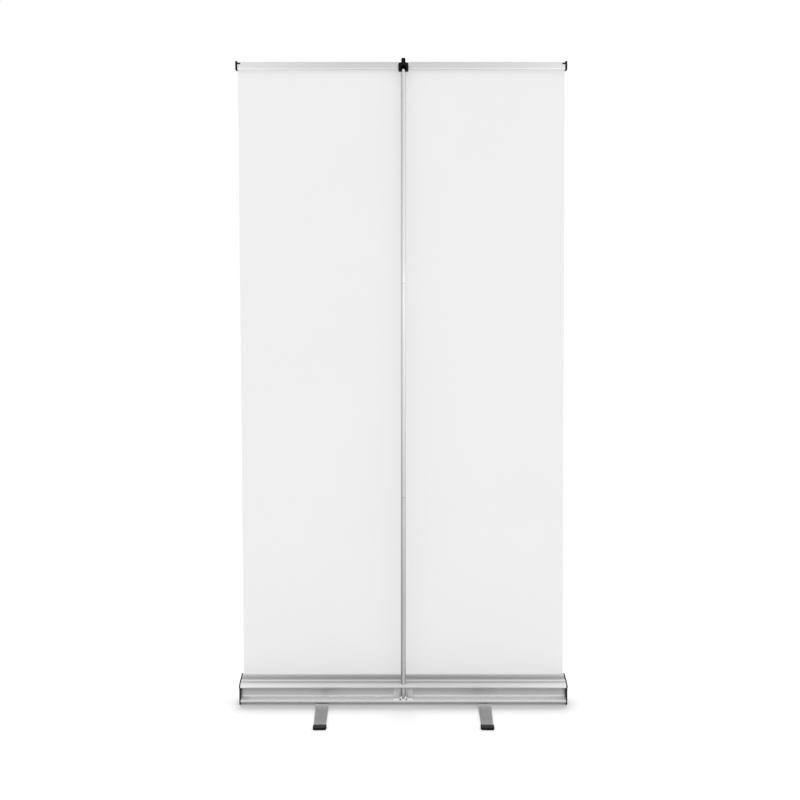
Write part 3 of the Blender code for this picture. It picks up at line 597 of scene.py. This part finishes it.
# ---------------------------------------------------------------- pieces
def cassette_painted_light(x, y, z):
    """Painted highlights and shade round the profile, in place of the satin finish's reflections: by y over
    the top, by z down the channel and the lip. The top is painted lighter towards the ends."""
    # painted highlights and shade across the top, band by band
    over = np.interp(y, (-34.0, -28.0, -22.0, -17.0, -14.2, -10.0, -6.0, 0.0, 6.0, 12.0, 17.6),
                     (0.64, 0.60, 0.45, 0.46, 0.82, 0.48, 0.38, 0.35, 0.35, 0.50, 0.84))
    over = over * (1.0 + 0.25 * np.clip(np.abs(x) / CASSETTE_HALF, 0, 1) ** 2)
    # painted shade down the channel wall, and a painted highlight on the ledge
    down = np.interp(z, (1.0, 4.0, 5.6, 9.2, 10.5, 14.0, 18.0, 22.0, 26.0, 30.0, 34.0, 37.0, 39.0),
                     (0.72, 0.66, 0.92, 0.92, 0.90, 0.62, 0.50, 0.44, 0.38, 0.33, 0.33, 0.42, 0.60))
    rear = np.where(z > 38.5, over, down)
    return np.where(y > 20.0, 0.58, np.where(z < 0.3, 0.56, rear)) / PAINTED_SHADE_METAL


def cassette_bare(x, y, z):
    """The ledge is blasted matt, and all the rest is bright."""
    ledge = np.interp(z, (4.4, 5.4, 9.2, 11.5), (0.7, 0.0, 0.0, 0.8))
    return np.where((y < -10.0) & (z > 1.0) & (z < 12.0), ledge, 1.0)


def cassette():
    """The extrusion with the pole's hole: its outer and inner outlines, joined at the slot, carried along
    X."""
    outer = smooth_loop(CASSETTE_OUTER + tuple(reversed(CASSETTE_INNER)), 5)
    ends = [-CASSETTE_HALF, -400.0, -300.0, -200.0, -100.0, -40.0]
    stations = ends + list(np.arange(-32.0, 32.1, 4.0)) + [-x for x in reversed(ends)]
    points, faces = swept(outer, stations)
    item = piece("cassette_shell", points, faces, EXTRUSION, None, None)
    cut(item, [cutter("pole_hole_cutter", pole_rod(POLE_R + POLE_HOLE_GAP, 24.0, 60.0))])
    # the painted light and shade go into the tone
    paint(item, cassette_painted_light, cassette_bare)
    assign(item, "cassette", ("cassette_extrusion",))


def end_caps():
    """The black end plates with their rounded rims, and the recessed screws that hold them."""
    for side, word in ((-1, "left"), (1, "right")):
        inner = side * (CASSETTE_HALF + GAP)
        outer = side * (CASSETTE_HALF + GAP + CAP_THICK)
        low, high = sorted((inner, outer))
        outline = smooth_loop(END_CAP_OUTLINE, 4, 60.0)
        points, faces = moulded(outline, low, high, 0.5, "X", 3)
        piece(f"end_plate_{word}", points, faces, BLACK, "cassette", "black_plastic", (f"end_cap_{word}",))
        for y, z in SCREW_PORTS:
            where = "front" if y > 0 else "rear"
            start = np.array((outer + side * SCREW_SEAT, y, z))
            name = f"plate_screw_{word}_{where}"
            node = f"end_cap_screw_{word}_{where}"
            screw(name, PLATE_SCREW, start, (side, 0, 0), 40, PLATE_RECESS, STEEL, "steel", node)


def pole_painted_light(x, y, z):
    """Painted shade and highlight: darker on one side and towards the foot, lightest in a stripe just off the
    middle and part way up.
    """
    across = np.interp(x, (-6.5, -3.0, 0.0, 2.5, 6.5), (0.66, 0.66, 0.95, 1.0, 0.85))
    levels = (100.0, 270.0, 650.0, 1050.0, 1450.0, 1650.0)
    height = np.interp(z, levels, (0.55, 0.52, 0.75, 1.0, 0.84, 0.80))
    return across * height


def pole():
    """The three tubes of the pole, with broken edges where they meet."""
    first, second = POLE_JOINTS
    spans = (
        ("lower", 0.0, first - SHORT_EDGE),
        ("middle", first + SHORT_EDGE, second - SHORT_EDGE),
        ("upper", second + SHORT_EDGE, POLE_LENGTH),
    )
    for word, low, high in spans:
        profile = [(POLE_R - 0.45, high), (POLE_R - 0.12, high - SHORT_EDGE)]
        profile += [(POLE_R, spot) for spot in np.linspace(high - 0.5, low + 0.5, 15)]
        profile += [(POLE_R - 0.12, low + SHORT_EDGE), (POLE_R - 0.45, low)]
        profile += [(POLE_BORE_R, low), (POLE_BORE_R, high)]
        points, faces = turned(profile, POLE_FOOT, POLE_AXIS, 64)
        node = f"pole_tube_{word}"
        tube = piece(f"tube_{word}", points, faces, POLE_METAL, "cassette", "aluminium", (node,))
        # paints light and shade on the tube
        paint(tube, pole_painted_light)


def rail_outline():
    """(y, z over the rail's lower edge) of the rail's rear body."""
    axis = JAW_PIVOT
    points = [(12.0, 0.7), (12.0, 14.2), (12.5, 16.6), (13.6, 18.5), (15.2, 19.6), (17.2, 19.95)]
    points += arc(axis, 3.35, 90, 60, 3)
    points += arc(axis, 1.9, 60, 290, 14)
    points += arc(axis, 3.35, 290, 264, 2)
    points += [(20.0, 12.6), (20.0, 0.9), (19.7, 0.2), (19.0, 0.0), (18.5, 0.3), (18.3, 0.9)]
    points += [(18.3, 13.4), (17.6, 15.6), (16.9, 16.2), (14.4, 16.2), (13.7, 15.6), (13.5, 14.0)]
    points += [(13.5, 0.7), (13.2, 0.1), (12.7, -0.1), (12.2, 0.1)]
    return points


def jaw_outline():
    """(y, z over the rail's lower edge) of the rail's front jaw."""
    axis = JAW_PIVOT
    points = [(21.1, 0.6), (21.1, 3.0), (22.2, 3.2), (24.2, 4.3), (25.3, 6.2), (25.6, 8.5), (25.6, 11.2)]
    points += [(24.9, 12.9), (23.6, 13.8)]
    points += arc(axis, 1.6, -61, -351, 16)
    points += [(24.2, 15.05)]
    points += arc(axis, 3.75, -16, 15, 4)
    points += arc(axis, 5.2, 15, 0, 2)
    points += [(26.8, 13.5), (27.1, 10.5), (27.1, 7.5), (26.6, 4.6), (25.2, 2.2), (23.4, 0.6), (21.9, 0.0)]
    points += [(21.4, 0.1)]
    return points


def rail_painted_light(x, y, z):
    """Painted light: lighter towards the ends and along the lower edge."""
    along = 0.68 + 0.16 * np.clip(np.abs(x - RAIL_SHIFT) / RAIL_HALF, 0, 1) ** 2
    return along * np.interp(z - RAIL_BOTTOM, (0.0, 2.5, 17.0, 20.0), (1.3, 1.0, 1.0, 0.95))


def rail():
    """The rail's body and jaw, and the black caps on its ends."""
    stations = RAIL_SHIFT + np.array([-RAIL_HALF, -300, -150, 0, 150, 300, RAIL_HALF])
    for name, outline, node, body in (
        ("rail_back", rail_outline(), "rail_body", "rail"),
        ("rail_front_jaw", jaw_outline(), "rail_jaw", "jaw"),
    ):
        loop = smooth_loop([(y, z + RAIL_BOTTOM) for y, z in outline], 3, 70.0)
        points, faces = swept(loop, stations)
        bar = piece(name, points, faces, RAIL_METAL, body, "aluminium", (node,), 40.0)
        # paints light on the rail
        paint(bar, rail_painted_light)
    corners = [(10.6, -0.4), (11.4, -1.3), (27.2, -1.3), (28.3, -0.2), (28.3, 14.5), (27.2, 18.6)]
    corners += [(24.6, 21.3), (12.4, 21.3), (11.0, 20.3), (10.6, 18.8)]
    for side, word in ((-1, "left"), (1, "right")):
        inner = RAIL_SHIFT + side * (RAIL_HALF + GAP)
        outer = inner + side * RAIL_CAP_THICK
        low, high = sorted((inner, outer))
        outline = smooth_loop([(y, z + RAIL_BOTTOM) for y, z in corners], 4, 80.0)
        plate = moulded(outline, low, high, 0.7, "X", 3)
        tab_low, tab_high = sorted((inner - side * 8.0, inner + side * 2.0))
        tab = rounded_box((tab_low, 10.6, RAIL_BOTTOM + 13.2), (tab_high, 11.7, RAIL_BOTTOM + 16.6), 0.3)
        tongue_low, tongue_high = sorted((inner - side * 14.0, inner + side * 2.0))
        tongue_start = (tongue_low, 13.8, RAIL_BOTTOM + 2.0)
        tongue = rounded_box(tongue_start, (tongue_high, 18.0, RAIL_BOTTOM + 13.2), 0.3)
        points, faces = joined(plate, tab, tongue)
        piece(f"rail_plug_{word}", points, faces, BLACK, "rail", "black_plastic", (f"rail_cap_{word}",))


def hook():
    """The black hook on the pole's top: an arched shell open below round the pole, a nub above it, a seat and
    tongue in the rail's channel, and a stem in the tube."""
    base = RAIL_BOTTOM
    shell = [(-13, -6), (-11.6, -7.2), (-9.6, -7.2), (-8.2, -6)]
    shell += [(-7.6, -2.5)] + arc((0.0, -2.2), 7.4, 180, 0, 12) + [(7.6, -2.5)]
    shell += [(8.2, -6), (9.6, -7.2), (11.6, -7.2), (13, -6)]
    shell += [(13, 10.2), (12.0, 12.0), (9.4, 12.6), (7.0, 12.8), (5.5, 15.5), (5.5, 23.6)]
    shell += [(4.6, 25.8), (2.6, 27.0), (-2.6, 27.0), (-4.6, 25.8), (-5.5, 23.6), (-5.5, 15.5), (-7.0, 12.8)]
    shell += [(-9.4, 12.6), (-12.0, 12.0), (-13, 10.2)]
    outline = smooth_loop([(x, base + z) for x, z in shell], 3, 50.0)
    points, faces = moulded(outline, -6.6, 11.6, 0.8, "Y", 4)
    body = piece("hook_shell", points, faces, None, None, None)
    thin = cutter("thin_cutter", rounded_box((-20, -12, base + 13.4), (20, 3.0, base + 40), 0.3))
    pocket = cutter("pocket_cutter", pole_rod(POLE_R + GAP, POLE_LENGTH - 40, POLE_LENGTH + GAP))
    cut(body, [thin, pocket])
    angle = [(6.0, -5.6), (17.2, -5.6), (17.2, 15.6), (14.3, 15.6), (14.3, -0.6), (6.0, -0.6)]
    seat_points, seat_faces = moulded([(y, base + z) for y, z in angle], -11.0, 11.0, 0.2, "X", 2)
    seat = piece("hook_seat", seat_points, seat_faces, None, None, None)
    cut(seat, [cutter("seat_cutter", pole_rod(POLE_R + GAP, POLE_LENGTH - 40, POLE_LENGTH - 1))])
    stem_points, stem_faces = pole_rod(POLE_BORE_R - GAP, POLE_LENGTH - 32, POLE_LENGTH + 3)
    stem = piece("hook_stem", stem_points, stem_faces, None, None, None)
    merged("hook_moulding", [body, seat, stem], BLACK, "cassette", "black_plastic", ("pole_hook",))


def socket_painted_light(x, y, z):
    """Painted light and shade: bright low down and duller towards the top."""
    return np.interp(z, (9.0, 11.5, 17.0, 34.0), (0.98, 0.90, 0.60, 0.50))


def socket_bare(x, y, z):
    """The wedge and the collar are cast, and matt."""
    return np.where((y < -17.0) | (z < 11.5), 0.25, 1.0)


def socket():
    """The pole's seat, with its two screws: a ribbed back, a wedge on the sloping ledge and a cone-shaped
    collar."""
    ribs = [(-26.0, -12.4), (-26.0, -15.6)]
    for center in (-23.6, -18.2, -12.8, 12.8, 18.2, 23.6):
        ribs += [(center - 2.0, -15.4), (center - 1.2, -16.6), (center + 1.2, -16.6), (center + 2.0, -15.4)]
    ribs += [(26.0, -15.6), (26.0, -12.4)]
    bore = pole_rod(POLE_R + GAP, -GAP, 40.0)
    relief = rounded_box((-30.0, -14.2, 8.0), (30.0, -12.0, 14.0), 0.1)
    back_points, back_faces = moulded(smooth_loop(ribs, 3, 30.0), 10.4, 33.8, 0.3, "Z", 3)
    back = piece("socket_back", back_points, back_faces, None, None, None)
    cut(back, [cutter("relief_cutter", relief), cutter("bore_cutter", bore)])
    wedge = [(-14.6, 10.9), (-14.6, 10.2), (-16.6, 9.45), (-29.6, 6.2), (-30.4, 6.2), (-30.4, 10.4)]
    wedge += [(-29.9, 10.9)]
    wedge_points, wedge_faces = moulded(wedge, -25.9, 25.9, 0.3, "X", 3)
    plate = piece("socket_plate", wedge_points, wedge_faces, None, None, None)
    holes = []
    for side in (-1, 1):
        spot = (side * SOCKET_SCREW[0], SOCKET_SCREW[1], SOCKET_SCREW[2])
        hole = turned(((0.0, -1.0), (1.5, -1.0), (1.5, 4.6), (0.0, 4.6)), spot, (0, 1, 0), 24, False)
        holes.append(cutter(f"pilot_cutter_{side}", hole))
    cut(plate, [cutter("bore_cutter", bore)] + holes)
    cone = (
        (0.0, 17.6), (POLE_R + 1.0, 17.6), (POLE_R + 1.4, 17.2), (POLE_R + 4.7, 10.5), (POLE_R + 4.7, 10.3),
        (0.0, 10.3),
    )
    cone_points, cone_faces = turned(cone, (0.0, POLE_FOOT[1] + 0.05, 0.0), (0, 0, 1), 64, False)
    collar = piece("socket_collar", cone_points, cone_faces, None, None, None)
    trim = rounded_box((-20.0, -45.0, 5.0), (20.0, -31.0, 20.0), 0.1)
    cut(collar, [cutter("trim_cutter", trim), cutter("relief_cutter", relief), cutter("bore_cutter", bore)])
    parts = [back, plate, collar]
    whole = merged("socket_body", parts, SOCKET_METAL, "cassette", "aluminium", ("pole_socket",))
    # paints light and shade on the socket
    paint(whole, socket_painted_light, socket_bare)
    for side, word in ((-1, "left"), (1, "right")):
        start = np.array((side * SOCKET_SCREW[0], SOCKET_SCREW[1], SOCKET_SCREW[2]))
        name, node = f"seat_screw_{word}", f"socket_screw_{word}"
        screw(name, SEAT_SCREW, start, (0, -1, 0), 32, SEAT_RECESS, BLACK_STEEL, "black_steel", node)


def rivets():
    """The domed rivets that the feet turn on, and the nylon washers under the base."""
    bottom = FOOT_TOP - FOOT_THICK
    tail = BASE_THICK + GAP
    for side, word in ((-1, "left"), (1, "right")):
        pivot = (side * FOOT_PIVOT[0], FOOT_PIVOT[1], 0.0)
        profile = (
            (0.0, tail + 1.8), (1.5, tail + 1.75), (3.0, tail + 1.5), (3.8, tail + 0.9), (4.0, tail + 0.3),
            (4.0, tail), (2.9, tail), (2.9, bottom - GAP), (7.5, bottom - GAP), (7.4, bottom - 0.7),
            (7.0, bottom - 1.0), (0.0, bottom - 1.1),
        )
        points, faces = turned(profile, pivot, (0, 0, 1), 56, False)
        piece(f"rivet_{word}", points, faces, STEEL, "cassette", "steel", (f"foot_rivet_{word}",))
        low, high = -GAP - WASHER_THICK, -GAP
        profile = (
            (8.8, high), (9.0, high - 0.2), (9.0, low + 0.2), (8.8, low), (3.3, low), (3.1, low + 0.2),
            (3.1, high - 0.2), (3.3, high),
        )
        points, faces = turned(profile, pivot, (0, 0, 1), 56)
        piece(f"washer_{word}", points, faces, NYLON, "cassette", "nylon", (f"foot_washer_{word}",))


def foot_painted_light(x, y, z):
    """Painted light: bright near the base and duller along the foot."""
    return np.interp(y, (-220.0, -150.0, -120.0, -75.0, -45.0, -30.0), (0.46, 0.46, 0.60, 0.76, 0.90, 0.95))


RING_PLACES = range(-200, -20, 12)


def dense(item):
    """Rings of points across the long flat faces, so that the painted light on the points can change along
    them."""
    built = bmesh.new()
    built.from_mesh(item.data)
    for y in RING_PLACES:
        everything = built.verts[:] + built.edges[:] + built.faces[:]
        bmesh.ops.bisect_plane(built, geom=everything, plane_co=(0, y * MM, 0), plane_no=(0, 1, 0))
    built.to_mesh(item.data)
    built.free()


def feet():
    """The flat swing-out feet: a bar about its rivet and a moulded tip."""
    for side, word, body in ((-1, "left", "left_foot"), (1, "right", "right_foot")):
        turn = -side * FOOT_TOE_IN
        spin = np.array(((math.cos(turn), -math.sin(turn)), (math.sin(turn), math.cos(turn))))
        pivot = np.array((side * FOOT_PIVOT[0], FOOT_PIVOT[1]))
        half, tip = 17.5, 16.2
        end = -(FOOT_REACH - 1.6)
        corners = arc((0.0, 0.0), half, 0, 180, 16)
        corners += [(-tip + 1.6, end + 5.0), (-tip + 4.6, end), (tip - 4.6, end), (tip - 1.6, end + 5.0)]
        outline = smooth_loop(corners, 3, 40.0) @ spin.T + pivot
        points, faces = moulded(outline, FOOT_TOP - FOOT_THICK, FOOT_TOP, 0.35, "Z", 3)
        node = f"foot_bar_{word}"
        plate = piece(f"foot_plate_{word}", points, faces, FOOT_METAL, body, "aluminium", (node,))
        dense(plate)
        # paints light on the foot
        paint(plate, foot_painted_light)
        start = -FOOT_REACH + TIP_LENGTH
        wide = tip + 0.4
        corners = [(wide, start), (-wide, start)]
        corners += arc((-wide + 6, -FOOT_REACH + 6), 6, 180, 270, 6)
        corners += arc((wide - 6, -FOOT_REACH + 6), 6, 270, 360, 6)
        outline = smooth_loop(corners, 3, 40.0) @ spin.T + pivot
        points, faces = moulded(outline, FLOOR_Z, FOOT_TOP + 1.1, 1.0, "Z", 4, 0.5)
        piece(f"foot_shoe_{word}", points, faces, BLACK, body, "black_plastic", (f"foot_tip_{word}",))


def banner():
    """The taut film: x and z on a grid, sheared to the rail, and y = BANNER_Y plus a very low ripple that
    dies away at the slot and the rail."""
    columns, rows = 121, 161
    bottom, top = ROLLER_Z, RAIL_BOTTOM + 11.5
    s, t = np.meshgrid(np.linspace(-1, 1, columns), np.linspace(0, 1, rows))
    z = bottom + (top - bottom) * t
    x = BANNER_HALF * s + RAIL_SHIFT * t
    fade = np.clip((z - 90.0) / 250.0, 0, 1) * np.clip((RAIL_BOTTOM - 25.0 - z) / 250.0, 0, 1)
    ripple = 0.35 * np.sin(2.1 * math.pi * s + 0.6) * np.cos(1.3 * math.pi * t)
    ripple += 0.2 * np.sin(5.3 * s - 2.0 * t)
    y = BANNER_Y + fade * ripple
    front = np.stack((x, y - BANNER_THICK / 2, z), 2).reshape(-1, 3)
    back = np.stack((x, y + BANNER_THICK / 2, z), 2).reshape(-1, 3)
    count = rows * columns
    faces = grid_faces(rows, columns) + [face[::-1] for face in grid_faces(rows, columns, count)]
    index = np.arange(count).reshape(rows, columns)
    rim = np.concatenate((index[0, :-1], index[:-1, -1], index[-1, :0:-1], index[:0:-1, 0]))
    after = np.roll(rim, -1)
    faces += np.stack((after, rim, rim + count, after + count), 1).tolist()
    points = np.concatenate((front, back))
    item = piece("banner_film", points, faces, FILM, "rail", "film", ("banner_sheet",), 60.0)
    item.visible_shadow = False


cassette()
end_caps()
pole()
rail()
hook()
socket()
feet()
rivets()
banner()


# ---------------------------------------------------------------- floor, light and camera
# metres, apart from the lens, and angles in radians
FLOOR_HALF = 30.0
FLOOR_DROP = 0.0002
FLOOR_TONE = 0.58
FLOOR_GLOW = 0.14
SUN_POWER = 2.6
SUN_SPREAD = math.radians(40.0)
SUN_HEIGHT = math.radians(48.0)
CAMERA_PLACE = (-0.0087, -2.907, 0.9233)
CAMERA_TILT = math.radians(90 - 2.56)
LENS_LENGTH = 50.0
SENSOR_WIDTH = 36.0


def floor():
    """A plain pale floor under the stand."""
    z = FLOOR_Z * MM - FLOOR_DROP
    corners = [(x * FLOOR_HALF, y * FLOOR_HALF, z) for x, y in ((-1, -1), (1, -1), (1, 1), (-1, 1))]
    mesh = bpy.data.meshes.new("floor")
    mesh.from_pydata(corners, [], [(0, 1, 2, 3)])
    item = bpy.data.objects.new("floor", mesh)
    bpy.context.scene.collection.objects.link(item)
    finish, _, shader = new_finish("pale floor", (FLOOR_TONE,) * 3, 0.0, 0.7)
    shader.inputs["Specular IOR Level"].default_value = 0.0
    shader.inputs["Emission Color"].default_value = (1.0, 1.0, 1.0, 1.0)
    shader.inputs["Emission Strength"].default_value = FLOOR_GLOW
    mesh.materials.append(finish)


def studio():
    """A white surround and one very soft high light behind the stand."""
    world = bpy.data.worlds.new("studio")
    bpy.context.scene.world = world
    world.use_nodes = True
    tree = world.node_tree
    shade = tree.nodes["Background"]
    shade.inputs["Color"].default_value = (1.0, 1.0, 1.0, 1.0)
    shade.inputs["Strength"].default_value = 1.0
    light = bpy.data.lights.new("soft light", "SUN")
    light.energy = SUN_POWER
    light.angle = SUN_SPREAD
    item = bpy.data.objects.new("soft light", light)
    item.visible_glossy = False
    heading = Vector((0.0, -math.cos(SUN_HEIGHT), -math.sin(SUN_HEIGHT)))
    item.rotation_euler = heading.to_track_quat("-Z", "Y").to_euler()
    bpy.context.scene.collection.objects.link(item)


def camera():
    """The camera behind the stand, tilted a little down."""
    lens = bpy.data.cameras.new("camera")
    lens.lens = LENS_LENGTH
    lens.sensor_width = SENSOR_WIDTH
    item = bpy.data.objects.new("camera", lens)
    item.location = CAMERA_PLACE
    item.rotation_euler = (CAMERA_TILT, 0.0, 0.0)
    bpy.context.scene.collection.objects.link(item)
    bpy.context.scene.camera = item


floor()
studio()
camera()
bpy.context.scene.view_settings.view_transform = "Standard"

bpy.context.view_layer.update()
